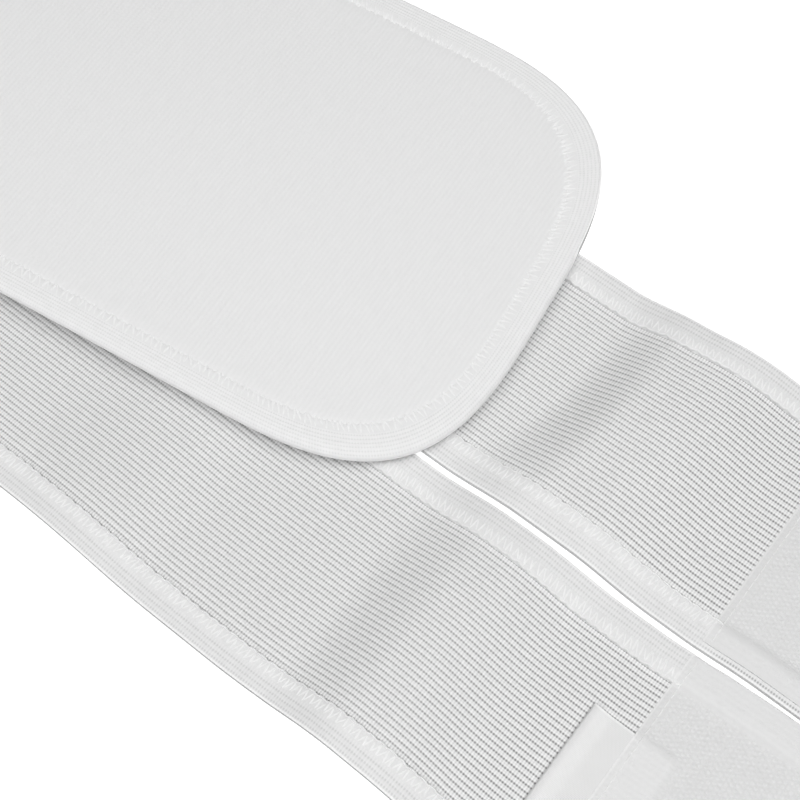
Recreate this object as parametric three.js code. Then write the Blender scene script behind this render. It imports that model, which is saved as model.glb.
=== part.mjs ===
// A white elastic rib belt, unfastened and folded once, so that its front pad lies on its two bands.
// Millimetres, +Z up. The two bands lie side by side along X, with a narrow slit between them, and end
// in hook patches at +X. At -X both bands turn over in one loop and come back on top, a little askew,
// to the pad that they are sewn under. The origin is under the middle of the whole, on the ground.
import * as THREE from 'three';

// Cloth thicknesses, and the clearance between pieces that touch.
const WEB_THICKNESS = 1.2;
const HEM_THICKNESS = 2.2;
const PATCH_THICKNESS = 1;
const LABEL_THICKNESS = 1;
const GAP = 0.3;

// Hems along both edges of each band: a flat doubled edge, then a short step down to the web.
const HEM_WIDTH = 9;
const HEM_STEP = 0.6;

// Places along the belt: the bands' hook ends and the start of the hook patches on them.
const HOOK_END = 190;
const PATCH_START = 100;
const PATCH_END_MARGIN = 1.5;

// The fold: the middle of its line, and how far that line is turned from square across the bands.
// A folded strip comes back turned by twice that angle.
const FOLD = { u: -337, v: -9.4 };
const FOLD_SKEW = THREE.MathUtils.degToRad(4.18);
const SKEW_START = -200;
const SKEW_FULL = -320;

// Height of the top layer's underside, by distance from the fold line.
const TOP_LAYER = [
  { from_fold: 0, height: 20 },
  { from_fold: 30, height: 18.4 },
  { from_fold: 97, height: 9.6 },
  { from_fold: 180, height: 8 },
  { from_fold: 256, height: 7 },
  { from_fold: 312, height: 5.3 },
  { from_fold: 362, height: 3 },
];
const LOOP_RADIUS = (TOP_LAYER[0].height - GAP) / 2;
const LOOP_LENGTH = Math.PI * LOOP_RADIUS;

// The pad: a straight root sewn on the bands, long parallel sides and a rounded free end.
const PAD = {
  root: 97,
  end: 357.3,
  width: 138,
  end_depth: 68,
  end_fullness: 3.3,
  root_depth: 16,
  root_fullness: 5,
  least_depth: 4,
  crown: 0.6,
};
const SEWN_UNDER_PAD = 28;

// Section of the edging, wrapped round the pad's edge: how far its two lips reach in, and its height.
const BINDING = { upper_lip: 8.5, lower_lip: 8, height: 4.4, wall: 0.9, bevel: 0.6 };

// The folded label: sewn in under the lower patch's edge, it shows beside it.
const LABEL = { start: 88, end: 111, upper_edge: -35.4, lower_edge: -75.4 };
const LABEL_FOLD = { width: 4, rise: 0.5 };
const LABEL_RAMP = 3;

// Both bands: where the slit edge and the outer edge run, by place along the belt before it is folded,
// how far the hook patch keeps in from each edge, and the ripples in the cloth. The bands draw in where
// they are sewn under the pad. A ripple is given on three lines along the band, its slit edge, its
// middle and its outer edge, by where it starts, tops out, begins to fall and ends, and by its height.
const BANDS = {
  upper: {
    slit: [{ at: 96, across: -8.5 }, { at: 116, across: -7.65 }],
    outer: [
      { at: -460, across: 57 },
      { at: -385, across: 65.2 },
      { at: 48, across: 65.2 },
      { at: 80, across: 68.4 },
    ],
    patch_inset: { slit: 2.2, outer: 1.5 },
    ripples: [
      [
        { line: 'slit', foot: 20, crest: 45, brow: 60, tail: 86, height: 4 },
        { line: 'middle', foot: 33, crest: 51, brow: 57, tail: 94, height: 7.4 },
        { line: 'outer', foot: 31, crest: 52, brow: 60, tail: 88, height: 4.3 },
      ],
    ],
  },
  lower: {
    slit: [
      { at: 92, across: -10.4 },
      { at: 104, across: -9.95 },
      { at: 112, across: -9.3 },
      { at: 126, across: -8.8 },
    ],
    outer: [
      { at: -460, across: -75.8 },
      { at: -385, across: -83.9 },
      { at: -66, across: -83.9 },
      { at: -12, across: -85.2 },
      { at: 6, across: -85.2 },
      { at: 36, across: -84.4 },
      { at: 60, across: -84.6 },
      { at: 86, across: -85.6 },
    ],
    patch_inset: { slit: 0.6, outer: 1.5 },
    ripples: [
      [
        { line: 'slit', foot: 21, crest: 44, brow: 52, tail: 80, height: 4.1 },
        { line: 'middle', foot: 22, crest: 44, brow: 47, tail: 72, height: 6.8 },
        { line: 'outer', foot: 22, crest: 45, brow: 53, tail: 80, height: 5.7 },
      ],
      [
        { line: 'slit', foot: -72, crest: -42, brow: -38, tail: -18, height: 1 },
        { line: 'middle', foot: -72, crest: -42, brow: -38, tail: -18, height: 2.2 },
        { line: 'outer', foot: -75, crest: -46, brow: -42, tail: -20, height: 2 },
      ],
    ],
  },
};

// Rows of a hook patch and of the band under it, along the belt, and the patch's columns in the web by
// distance from the slit edge: both are closer together where the label's tail lifts the lower patch.
const LABEL_TAIL = LABEL.end + GAP;
const PATCH_END = HOOK_END - PATCH_END_MARGIN;
const PATCH_ROWS = [PATCH_START, 106, LABEL_TAIL, LABEL_TAIL + LABEL_RAMP, 122, 132, PATCH_END];
const PATCH_COLUMNS = [21.5, 23, 24.5, 26, 30, 40];

// How finely the bands are cut along their length, from the hook patch to the sewn end.
const FLAT_SPANS = [
  { to: 20, pieces: 20 },
  { to: -18, pieces: 3 },
  { to: -75, pieces: 9 },
  { to: FOLD.u, pieces: 8 },
];
const LOOP_PIECES = 14;
const TOP_PIECES = 9;
const WEB_COLUMNS = 4;

// How finely the pad's half outline is cut, and the rings of its faces by their distance from the edge.
const OUTLINE_PIECES = { root: 7, side: 10, end: 14 };
const CORE_INSET = BINDING.wall + GAP;
const TOP_RINGS = [BINDING.upper_lip + GAP, 14, 22, 36, 52, 63];
const UNDER_RINGS = [20, 45, 63];
const RISE_BESIDE_BINDING = 1.1;

const COLOURS = { pad: 0xe4e4e3, edging: 0xebebea, band: 0xd6d6d5, patch: 0xdcdcdc, label: 0xe8e8e7 };

// Eases from 0 to 1, level at both ends.
function ease(share) {
  const clamped = THREE.MathUtils.clamp(share, 0, 1);
  return clamped * clamped * (3 - 2 * clamped);
}

// Reads a column of a table whose rows go up along another column, easing between rows.
function read(table, key, column, place) {
  const after = table.findIndex((row) => row[key] > place);
  if (after === 0) {
    return table[0][column];
  }
  if (after < 0) {
    return table[table.length - 1][column];
  }
  const [low, high] = [table[after - 1], table[after]];
  const share = (place - low[key]) / (high[key] - low[key]);
  return THREE.MathUtils.lerp(low[column], high[column], ease(share));
}

// Slope of the top layer at a row of its table: level where the loop ends, then along its neighbours.
function topSlope(row) {
  const before = TOP_LAYER[Math.max(row - 1, 0)];
  const after = TOP_LAYER[Math.min(row + 1, TOP_LAYER.length - 1)];
  return row === 0 ? 0 : (after.height - before.height) / (after.from_fold - before.from_fold);
}

// Height of the top layer's underside, on a smooth curve through its table.
function topHeight(fromFold) {
  const last = TOP_LAYER.length - 1;
  const place = THREE.MathUtils.clamp(fromFold, 0, TOP_LAYER[last].from_fold);
  const row = Math.max(1, TOP_LAYER.findIndex((entry) => entry.from_fold >= place));
  const [low, high] = [TOP_LAYER[row - 1], TOP_LAYER[row]];
  const span = high.from_fold - low.from_fold;
  const share = (place - low.from_fold) / span;
  const rest = 1 - share;
  const leaving = topSlope(row - 1) * span * share * rest * rest;
  const arriving = topSlope(row) * span * share * share * rest;
  return THREE.MathUtils.lerp(low.height, high.height, ease(share)) + leaving - arriving;
}

// Blends three values, for the slit edge, the middle and the outer edge, across a band.
function blendAcross(slit, middle, outer, share) {
  const atSlit = (1 - share) * (1 - 2 * share);
  const atMiddle = 4 * share * (1 - share);
  const atOuter = share * (2 * share - 1);
  return slit * atSlit + middle * atMiddle + outer * atOuter;
}

// Height of a band's ripples above the ground, at a place along it and a share of its width.
function rippleHeight(band, u, share) {
  let height = 0;
  for (const [slit, middle, outer] of band.ripples) {
    const at = (column) => blendAcross(slit[column], middle[column], outer[column], share);
    const rise = ease((u - at('foot')) / (at('crest') - at('foot')));
    const fall = ease((u - at('brow')) / (at('tail') - at('brow')));
    height += at('height') * rise * (1 - fall);
  }
  return height;
}

// Thickness of a band at a distance in from its nearer edge.
function bandThickness(fromEdge) {
  const down = THREE.MathUtils.clamp((fromEdge - HEM_WIDTH) / HEM_STEP, 0, 1);
  return THREE.MathUtils.lerp(HEM_THICKNESS, WEB_THICKNESS, down);
}

// A point of a band: laid flat at u, v, raised by the ripples, and carried round the fold past its line.
function bandPoint(band, u, v, lift) {
  const slit = read(band.slit, 'at', 'across', u);
  const outer = read(band.outer, 'at', 'across', u);
  const across = { u: -Math.sin(FOLD_SKEW), v: Math.cos(FOLD_SKEW) };
  const past = -(u - FOLD.u) * across.v + (v - FOLD.v) * across.u;
  if (past <= 0) {
    return new THREE.Vector3(u, v, rippleHeight(band, u, (v - slit) / (outer - slit)) + lift);
  }
  const along = (u - FOLD.u) * across.u + (v - FOLD.v) * across.v;
  const turned = past / LOOP_RADIUS;
  const onTop = turned > Math.PI;
  const out = onTop ? LOOP_LENGTH - past : (LOOP_RADIUS - lift) * Math.sin(turned);
  const z = onTop
    ? topHeight(past - LOOP_LENGTH) - GAP - lift
    : LOOP_RADIUS - (LOOP_RADIUS - lift) * Math.cos(turned);
  return new THREE.Vector3(
    FOLD.u + along * across.u - out * across.v,
    FOLD.v + along * across.v + out * across.u,
    z,
  );
}

// Joins two grids of points, a top and a bottom with the same rows and columns, into one closed solid.
function slab(top, bottom) {
  const rows = top.length;
  const columns = top[0].length;
  const points = [...top.flat(), ...bottom.flat()];
  const topAt = (i, j) => i * columns + j;
  const bottomAt = (i, j) => rows * columns + i * columns + j;
  const faces = [];
  const quad = (a, b, c, d) => faces.push(a, b, c, a, c, d);
  for (let i = 0; i < rows - 1; i += 1) {
    for (let j = 0; j < columns - 1; j += 1) {
      quad(topAt(i, j), topAt(i + 1, j), topAt(i + 1, j + 1), topAt(i, j + 1));
      quad(bottomAt(i, j), bottomAt(i, j + 1), bottomAt(i + 1, j + 1), bottomAt(i + 1, j));
    }
    quad(topAt(i, 0), bottomAt(i, 0), bottomAt(i + 1, 0), topAt(i + 1, 0));
    const j = columns - 1;
    quad(topAt(i, j), topAt(i + 1, j), bottomAt(i + 1, j), bottomAt(i, j));
  }
  for (let j = 0; j < columns - 1; j += 1) {
    const i = rows - 1;
    quad(topAt(0, j), topAt(0, j + 1), bottomAt(0, j + 1), bottomAt(0, j));
    quad(topAt(i, j), bottomAt(i, j), bottomAt(i, j + 1), topAt(i, j + 1));
  }
  return solid(points, faces);
}

// A geometry from points and faces, turned so that its faces point out.
function solid(points, faces) {
  let volume = 0;
  for (let k = 0; k < faces.length; k += 3) {
    const [a, b, c] = [points[faces[k]], points[faces[k + 1]], points[faces[k + 2]]];
    volume += a.dot(new THREE.Vector3().crossVectors(b, c));
  }
  const geometry = new THREE.BufferGeometry().setFromPoints(points);
  geometry.setIndex(volume < 0 ? faces.toReversed() : faces);
  geometry.computeVertexNormals();
  return geometry;
}

// Distances of a band's columns from its slit edge.
function bandColumns(width) {
  const webStart = HEM_WIDTH + HEM_STEP;
  const web = width - 2 * webStart;
  const columns = [0, HEM_WIDTH];
  for (let k = 0; k <= WEB_COLUMNS; k += 1) {
    columns.push(webStart + (web * k) / WEB_COLUMNS);
  }
  columns.push(width - HEM_WIDTH, width);
  return columns;
}

// Places of a band's rows along its flat length, from the hook end round the fold to the sewn end.
function bandRows() {
  const rows = [HOOK_END, ...PATCH_ROWS.toReversed()];
  const cut = (to, pieces) => {
    const from = rows[rows.length - 1];
    for (let k = 1; k <= pieces; k += 1) {
      rows.push(THREE.MathUtils.lerp(from, to, k / pieces));
    }
  };
  FLAT_SPANS.forEach((span) => cut(span.to, span.pieces));
  const loopEnd = FOLD.u - LOOP_LENGTH / Math.cos(FOLD_SKEW);
  cut(loopEnd, LOOP_PIECES);
  cut(loopEnd - PAD.root - SEWN_UNDER_PAD, TOP_PIECES);
  return rows;
}

// An elastic band: web between two hems, rippled where it lies, and turned over at the fold.
function makeBand(band) {
  const top = [];
  const bottom = [];
  for (const row of bandRows()) {
    const slit = read(band.slit, 'at', 'across', row);
    const outer = read(band.outer, 'at', 'across', row);
    const side = Math.sign(outer - slit);
    const width = Math.abs(outer - slit);
    const skewed = ease((row - SKEW_START) / (SKEW_FULL - SKEW_START)) * Math.tan(FOLD_SKEW);
    const lines = bandColumns(width).map((column) => {
      const v = slit + side * column;
      const u = row - skewed * (v - FOLD.v);
      return { u, v, thickness: bandThickness(Math.min(column, width - column)) };
    });
    top.push(lines.map((line) => bandPoint(band, line.u, line.v, line.thickness)));
    bottom.push(lines.map((line) => bandPoint(band, line.u, line.v, 0)));
  }
  return slab(top, bottom);
}

// How far the lower patch is raised where the label's tail lies under it, from its upper edge to the hem.
function raisedByLabel(u, v) {
  const along = 1 - ease((u - LABEL.end - GAP) / LABEL_RAMP);
  const above = 1 - ease((v - LABEL.upper_edge - GAP) / LABEL_RAMP);
  return (LABEL_THICKNESS + GAP) * along * above;
}

// A hook patch: a plate that follows the band's web and hems, sewn on the end of its inner face.
function makePatch(band, hasLabel) {
  const top = [];
  const bottom = [];
  for (const u of PATCH_ROWS) {
    const slit = read(band.slit, 'at', 'across', u);
    const outer = read(band.outer, 'at', 'across', u);
    const side = Math.sign(outer - slit);
    const width = Math.abs(outer - slit);
    const last = width - band.patch_inset.outer;
    const webStart = HEM_WIDTH + HEM_STEP;
    const columns = [band.patch_inset.slit, HEM_WIDTH, webStart, ...PATCH_COLUMNS];
    columns.push(width - webStart, width - HEM_WIDTH, last);
    const lines = columns.map((column) => {
      const v = slit + side * column;
      const seat = bandThickness(Math.min(column, width - column));
      const raised = hasLabel ? Math.max(seat, WEB_THICKNESS + raisedByLabel(u, v)) : seat;
      return { v, under: raised + GAP };
    });
    top.push(lines.map((line) => bandPoint(band, u, line.v, line.under + PATCH_THICKNESS)));
    bottom.push(lines.map((line) => bandPoint(band, u, line.v, line.under)));
  }
  return slab(top, bottom);
}

// The label: a doubled cloth tab on the web, its fold a little raised, its tail under the patch.
function makeLabel(band) {
  const flatStart = LABEL.start + LABEL_FOLD.width;
  const along = [LABEL.start, LABEL.start + LABEL_FOLD.width / 2, flatStart, PATCH_START, LABEL.end];
  const across = [LABEL.upper_edge, (LABEL.upper_edge + LABEL.lower_edge) / 2, LABEL.lower_edge];
  const grid = (lift) => along.map((u) => across.map((v) => {
    const rise = LABEL_FOLD.rise * (1 - ease((u - LABEL.start) / LABEL_FOLD.width));
    return bandPoint(band, u, v, WEB_THICKNESS + GAP + rise + lift);
  }));
  return slab(grid(LABEL_THICKNESS), grid(0));
}

// Half of the pad's outline, from the middle of its root to the tip of its end, kept in by an inset.
// Both ends are rounded the same way, the root shallow and full, the free end deep and softer.
function halfOutline(inset) {
  const half = PAD.width / 2 - inset;
  const rootDepth = Math.max(PAD.root_depth - inset, PAD.least_depth);
  const sideStart = PAD.root + inset + rootDepth;
  const sideEnd = PAD.end - PAD.end_depth;
  const endDepth = PAD.end_depth - inset;
  const quarter = (pieces, fullness) => Array.from({ length: pieces + 1 }, (_, k) => {
    const turn = (Math.PI / 2) * (k / pieces);
    const reach = k < pieces ? Math.cos(turn) ** (2 / fullness) : 0;
    return { reach, wide: Math.sin(turn) ** (2 / fullness) };
  });
  const root = quarter(OUTLINE_PIECES.root, PAD.root_fullness).map(({ reach, wide }) => (
    { p: sideStart - rootDepth * reach, q: half * wide }
  ));
  const side = Array.from({ length: OUTLINE_PIECES.side - 1 }, (_, k) => (
    { p: THREE.MathUtils.lerp(sideStart, sideEnd, (k + 1) / OUTLINE_PIECES.side), q: half }
  ));
  const end = quarter(OUTLINE_PIECES.end, PAD.end_fullness).toReversed().map(({ reach, wide }) => (
    { p: sideEnd + endDepth * reach, q: half * wide }
  ));
  return [...root, ...side, ...end];
}

// A closed ring of the pad at an inset from its edge, at a height above its underside.
function padRing(inset, lift) {
  const half = halfOutline(inset);
  const mirrored = half.slice(1, -1).reverse().map((point) => ({ p: point.p, q: -point.q }));
  const turn = 2 * FOLD_SKEW;
  return [...half, ...mirrored].map(({ p, q }) => {
    const du = p * Math.cos(turn) - q * Math.sin(turn);
    const dv = p * Math.sin(turn) + q * Math.cos(turn);
    const fromFold = du * Math.cos(FOLD_SKEW) + dv * Math.sin(FOLD_SKEW);
    return new THREE.Vector3(FOLD.u + du, FOLD.v + dv, topHeight(fromFold) + lift);
  });
}

// Faces between rings that follow one another, wrapped round their whole length.
function ringFaces(count, ringCount, closed) {
  const faces = [];
  const bands = closed ? ringCount : ringCount - 1;
  for (let r = 0; r < bands; r += 1) {
    const [a, b] = [r * count, ((r + 1) % ringCount) * count];
    for (let k = 0; k < count; k += 1) {
      const next = (k + 1) % count;
      faces.push(a + k, b + k, b + next, a + k, b + next, a + next);
    }
  }
  return faces;
}

// Faces that close a ring whose two halves mirror each other.
function capFaces(start, count) {
  const faces = [];
  for (let k = 0; k < count / 2; k += 1) {
    const [a, b] = [start + k, start + k + 1];
    const [c, d] = [start + ((count - k - 1) % count), start + ((count - k) % count)];
    if (a !== d) {
      faces.push(a, b, d);
    }
    if (b !== c) {
      faces.push(b, c, d);
    }
  }
  return faces;
}

// The pad: a flat padded core, thin where the edging grips it and a little crowned inside it.
function makePad() {
  const under = BINDING.wall + GAP;
  const gripped = BINDING.height - BINDING.wall - GAP;
  const full = gripped + RISE_BESIDE_BINDING;
  const crownAt = (inset) => full + PAD.crown * ease(inset / (PAD.width / 2));
  const rings = [
    ...UNDER_RINGS.toReversed().map((inset) => padRing(inset, under)),
    padRing(CORE_INSET, under),
    padRing(CORE_INSET, gripped),
    padRing(TOP_RINGS[0], gripped),
    ...TOP_RINGS.slice(1).map((inset) => padRing(inset, crownAt(inset))),
  ];
  const count = rings[0].length;
  const lastStart = (rings.length - 1) * count;
  const faces = [
    ...ringFaces(count, rings.length, false),
    ...capFaces(0, count),
    ...capFaces(lastStart, count).toReversed(),
  ];
  return solid(rings.flat(), faces);
}

// The edging: a channel of cloth wrapped round the pad's edge, with an upper and a lower lip.
function makeBinding() {
  const { upper_lip: upper, lower_lip: lower, height, wall, bevel } = BINDING;
  const section = [
    { inset: lower, lift: 0 },
    { inset: bevel, lift: 0 },
    { inset: 0, lift: bevel },
    { inset: 0, lift: height - bevel },
    { inset: bevel, lift: height },
    { inset: upper, lift: height },
    { inset: upper, lift: height - wall },
    { inset: wall, lift: height - wall },
    { inset: wall, lift: wall },
    { inset: lower, lift: wall },
  ];
  const rings = section.map(({ inset, lift }) => padRing(inset, lift));
  return solid(rings.flat(), ringFaces(rings[0].length, rings.length, true));
}

// A named piece with its own cloth colour.
function piece(name, geometry, colour, roughness) {
  const material = new THREE.MeshStandardMaterial({ color: colour, roughness, metalness: 0 });
  const mesh = new THREE.Mesh(geometry, material);
  mesh.name = name;
  return mesh;
}

const belt = new THREE.Group();
belt.add(
  piece('front_pad', makePad(), COLOURS.pad, 0.95),
  piece('pad_binding', makeBinding(), COLOURS.edging, 0.85),
  piece('upper_band', makeBand(BANDS.upper), COLOURS.band, 0.85),
  piece('lower_band', makeBand(BANDS.lower), COLOURS.band, 0.85),
  piece('upper_hook_patch', makePatch(BANDS.upper, false), COLOURS.patch, 0.5),
  piece('lower_hook_patch', makePatch(BANDS.lower, true), COLOURS.patch, 0.5),
  piece('size_label', makeLabel(BANDS.lower), COLOURS.label, 0.6),
);

// Stands the belt on the ground with its middle over the origin.
const bounds = new THREE.Box3().setFromObject(belt);
const middle = bounds.getCenter(new THREE.Vector3());
belt.position.set(-middle.x, -middle.y, -bounds.min.z);
belt.updateMatrixWorld(true);

export default belt;
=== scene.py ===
# %% [markdown]
# # A white rib belt, folded once
# The belt is two ribbed elastic bands, side by side with a narrow slit between them. They end in hook
# patches at one end, and at the other they are sewn under a soft front pad. Unfastened and folded, the
# pad lies on the bands. Its plain solids are already there at their real size. Painting them would leave
# the cloth flat, so each one is replaced here by a finer mesh in the same place, with real ribs, hems and
# stitches.

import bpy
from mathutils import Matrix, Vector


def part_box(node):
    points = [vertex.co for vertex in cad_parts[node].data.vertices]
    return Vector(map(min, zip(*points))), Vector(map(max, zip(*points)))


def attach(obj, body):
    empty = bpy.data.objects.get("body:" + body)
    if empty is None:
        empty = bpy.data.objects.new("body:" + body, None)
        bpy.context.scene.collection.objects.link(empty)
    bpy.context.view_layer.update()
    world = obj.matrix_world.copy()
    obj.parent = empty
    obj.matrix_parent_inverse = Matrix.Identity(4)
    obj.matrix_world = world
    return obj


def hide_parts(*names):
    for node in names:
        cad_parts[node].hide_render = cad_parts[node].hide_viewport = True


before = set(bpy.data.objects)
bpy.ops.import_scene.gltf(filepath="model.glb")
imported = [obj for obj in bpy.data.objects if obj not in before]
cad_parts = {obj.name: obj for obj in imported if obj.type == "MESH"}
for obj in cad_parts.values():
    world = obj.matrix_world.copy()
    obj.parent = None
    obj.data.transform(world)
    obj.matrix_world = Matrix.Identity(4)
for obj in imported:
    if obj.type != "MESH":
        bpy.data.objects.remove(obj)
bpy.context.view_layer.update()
print("solids:", sorted(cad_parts))

# %% [markdown]
# ## One ruler for everything
# A sewer measures a belt in millimetres, along it and across it, laid out flat. Blender works in metres,
# with its origin under the middle of the folded belt. All shapes below are worked out on the sewer's ruler
# and shifted at the last moment. The label's corner is known in both, so it gives the shift.

# %% From the sewer's millimetres to the frame
import math

import bmesh
import bpy
import numpy as np
from mathutils import Vector

MM = 0.001
LABEL = {"start": 88, "end": 111, "upper_edge": -35.4, "lower_edge": -75.4}
label_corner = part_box("size_label")[0]
SHIFT = np.array([label_corner.x - LABEL["start"] * MM, label_corner.y - LABEL["lower_edge"] * MM, 0])


def in_frame(points):
    """Points on the belt's ruler, in millimetres, as metres in the frame."""
    return np.asarray(points, float) * MM + SHIFT


print("the ruler's zero lies at", SHIFT.round(5), "m")

# %% [markdown]
# ## The camera
# The belt is seen from above its near side, with a long lens that keeps its edges almost parallel. A camera
# could be turned by three angles. Aiming it at a point is easier to read: stand at an azimuth and an
# elevation, look at the belt, and keep the horizon level.

# %% Set up the camera
CAMERA = {"azimuth": 38, "elevation": 65.9, "distance": 407.1, "lens": 68.49, "sensor": 36}


def seen_from(azimuth, elevation, distance):
    """A place that far from the ruler's zero, in the frame."""
    turn, rise = math.radians(azimuth), math.radians(elevation)
    level = distance * math.cos(rise)
    return Vector(in_frame([level * math.sin(turn), -level * math.cos(turn), distance * math.sin(rise)]))


def aim(thing, target):
    """Turns a camera or a lamp to look at a point, with its top side up."""
    thing.rotation_euler = (target - thing.location).to_track_quat("-Z", "Y").to_euler()


middle = Vector(in_frame([0, 0, 0]))
camera_data = bpy.data.cameras.new("camera")
camera_data.lens = CAMERA["lens"]
camera_data.sensor_width = CAMERA["sensor"]
camera = bpy.data.objects.new("camera", camera_data)
bpy.context.scene.collection.objects.link(camera)
camera.location = seen_from(CAMERA["azimuth"], CAMERA["elevation"], CAMERA["distance"])
aim(camera, middle)
bpy.context.scene.camera = camera
print("camera at", camera.location, "looking at", middle)

# %% [markdown]
# ## A pale floor
# White cloth is laid on a white table. A plain bright floor would turn grey wherever the cloth shades it.
# This one glows a little by itself, as a lit table does, so it stays white beside the cloth and in the
# slit, and it reaches so far that its rim is out of sight.

# %% Make the floor
FLOOR = {"size": 40.0, "drop": 0.2, "glow": 0.65, "paleness": 0.6, "mottle": 0.01, "mottle_scale": 40.0}
WHITE = (1, 1, 1, 1)


def add(tree, kind, *values, **options):
    """Adds a node, sets its options and feeds its inputs in order: a socket is linked, None is skipped."""
    made = tree.nodes.new(kind)
    for option, value in options.items():
        setattr(made, option, value)
    for socket, value in zip(made.inputs, values):
        if isinstance(value, bpy.types.NodeSocket):
            tree.links.new(value, socket)
        elif value is not None:
            socket.default_value = value
    return made.outputs[0]


def new_finish(name, roughness, gloss):
    """A new finish, its node tree and its shader."""
    finish = bpy.data.materials.new(name)
    finish.use_nodes = True
    shader = finish.node_tree.nodes["Principled BSDF"]
    shader.inputs["Roughness"].default_value = roughness
    shader.inputs["Specular IOR Level"].default_value = gloss
    return finish, finish.node_tree, shader


def floor_finish():
    """A matt, pale, faintly mottled table that glows a little."""
    finish, tree, shader = new_finish("floor_paper", roughness=0.95, gloss=0.1)
    mottle = add(tree, "ShaderNodeTexNoise", None, None, FLOOR["mottle_scale"])
    low, high = FLOOR["paleness"] - FLOOR["mottle"], FLOOR["paleness"] + FLOOR["mottle"]
    tree.links.new(add(tree, "ShaderNodeMapRange", mottle, 0.0, 1.0, low, high), shader.inputs["Base Color"])
    shader.inputs["Emission Color"].default_value = WHITE
    shader.inputs["Emission Strength"].default_value = FLOOR["glow"]
    return finish


bpy.ops.mesh.primitive_grid_add(x_subdivisions=2, y_subdivisions=2, size=FLOOR["size"])
floor = bpy.context.object
floor.name = "floor"
floor.location = (0, 0, -FLOOR["drop"] * MM)
floor.data.materials.append(floor_finish())
print("the floor is", FLOOR["size"], "m wide")

# %% [markdown]
# ## Soft light
# White cloth needs light that is soft but not the same from all sides, or the ribs vanish. One lamp would
# draw hard shadows. Three wide softboxes, in front, on the right and on the left, and a faint sky leave
# thin shadows under the pad and gentle ones on the ripples.

# %% Make the sky and the lamps
SKY = 0.195
LAMP = {"distance": 1500, "size": 0.9}
SOFTBOXES = {
    "front": {"azimuth": 30, "elevation": 66, "power": 9.6},
    "right": {"azimuth": 110, "elevation": 66, "power": 7.1},
    "left": {"azimuth": -30, "elevation": 62, "power": 4.3},
}


def softbox(name, azimuth, elevation, power):
    """A square lamp that looks at the middle of the view."""
    lamp_data = bpy.data.lights.new(name, "AREA")
    lamp_data.size = LAMP["size"]
    lamp_data.energy = power
    lamp = bpy.data.objects.new(name, lamp_data)
    bpy.context.scene.collection.objects.link(lamp)
    lamp.location = seen_from(azimuth, elevation, LAMP["distance"])
    aim(lamp, middle)


sky = bpy.data.worlds.new("sky")
sky.use_nodes = True
sky.node_tree.nodes["Background"].inputs["Color"].default_value = WHITE
sky.node_tree.nodes["Background"].inputs["Strength"].default_value = SKY
bpy.context.scene.world = sky
bpy.context.scene.view_settings.view_transform = "Standard"
for name, setting in SOFTBOXES.items():
    softbox(name, **setting)
print("lamps:", ", ".join(SOFTBOXES))

# %% [markdown]
# ## How the belt lies
# A few short tables say how the cloth lies: where the edges of each band run, how it ripples, and how high
# the folded-back layer floats. Cloth could be dropped by a simulation, but it would fall differently from
# the real one. Tables that are eased between their rows give back the ripples that are there.

# %% Tables of the lie, eased between rows
GAP = 0.3
TOP_LAYER = [(0, 20), (30, 18.4), (97, 9.6), (180, 8), (256, 7), (312, 5.3), (362, 3)]
# Edges as (place along, place across). Ripples as (foot, crest, brow, tail, height), on the slit edge, in
# the middle and on the outer edge of the band.
BANDS = {
    "upper": {
        "ribs": 36,
        "slit": [(96, -8.5), (116, -7.65)],
        "outer": [(-460, 57), (-385, 65.2), (48, 65.2), (80, 68.4)],
        "ripples": [[(20, 45, 60, 86, 4), (33, 51, 57, 94, 7.4), (31, 52, 60, 88, 4.3)]],
    },
    "lower": {
        "ribs": 37,
        "slit": [(92, -10.4), (104, -9.95), (112, -9.3), (126, -8.8)],
        "outer": [
            (-460, -75.8), (-385, -83.9), (-66, -83.9), (-12, -85.2),
            (6, -85.2), (36, -84.4), (60, -84.6), (86, -85.6),
        ],
        "ripples": [
            [(21, 44, 52, 80, 4.1), (22, 44, 47, 72, 6.8), (22, 45, 53, 80, 5.7)],
            [(-72, -42, -38, -18, 1), (-72, -42, -38, -18, 2.2), (-75, -46, -42, -20, 2)],
        ],
    },
}


def ease(share):
    """From 0 to 1, level at both ends."""
    share = np.clip(share, 0, 1)
    return share * share * (3 - 2 * share)


def row_below(at, place):
    """The row of a table that lies at or before a place, and never the last one."""
    return np.clip(np.searchsorted(at, place, side="right") - 1, 0, len(at) - 2)


def read_table(rows, place):
    """A value from a table of (place, value), eased between its rows."""
    at, value = np.array(rows, float).T
    low = row_below(at, place)
    share = ease((place - at[low]) / (at[low + 1] - at[low]))
    return value[low] + share * (value[low + 1] - value[low])


def edges_at(band, u):
    """Places across of a band's slit edge and of its outer edge."""
    return read_table(band["slit"], u), read_table(band["outer"], u)


def top_height(from_fold):
    """Height of the folded-back layer's underside, on a smooth curve through its table."""
    at, height = np.array(TOP_LAYER, float).T
    slope = np.gradient(height, at)
    slope[1:-1] = (height[2:] - height[:-2]) / (at[2:] - at[:-2])
    slope[0] = 0
    place = np.clip(from_fold, at[0], at[-1])
    low = row_below(at, place)
    span = at[low + 1] - at[low]
    share = (place - at[low]) / span
    rest = 1 - share
    bend = slope[low] * rest - slope[low + 1] * share
    return height[low] + (height[low + 1] - height[low]) * ease(share) + bend * span * share * rest


floating = top_height(np.array([30.0, 180.0])).round(1)
print("the top layer floats", floating, "mm up, near the fold and further on")

# %% [markdown]
# ## From flat cloth to folded cloth
# Every point of a band is known on the flat cloth: a place along it, a place across it and a lift above
# the cloth's outer face. One function carries it to where it lies: over the ripples, round the fold as
# round a rod, and back on top. Bones or a bend modifier could fold the finished mesh. With a function,
# hems, stitches, hooks and the label follow the cloth too.

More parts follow.
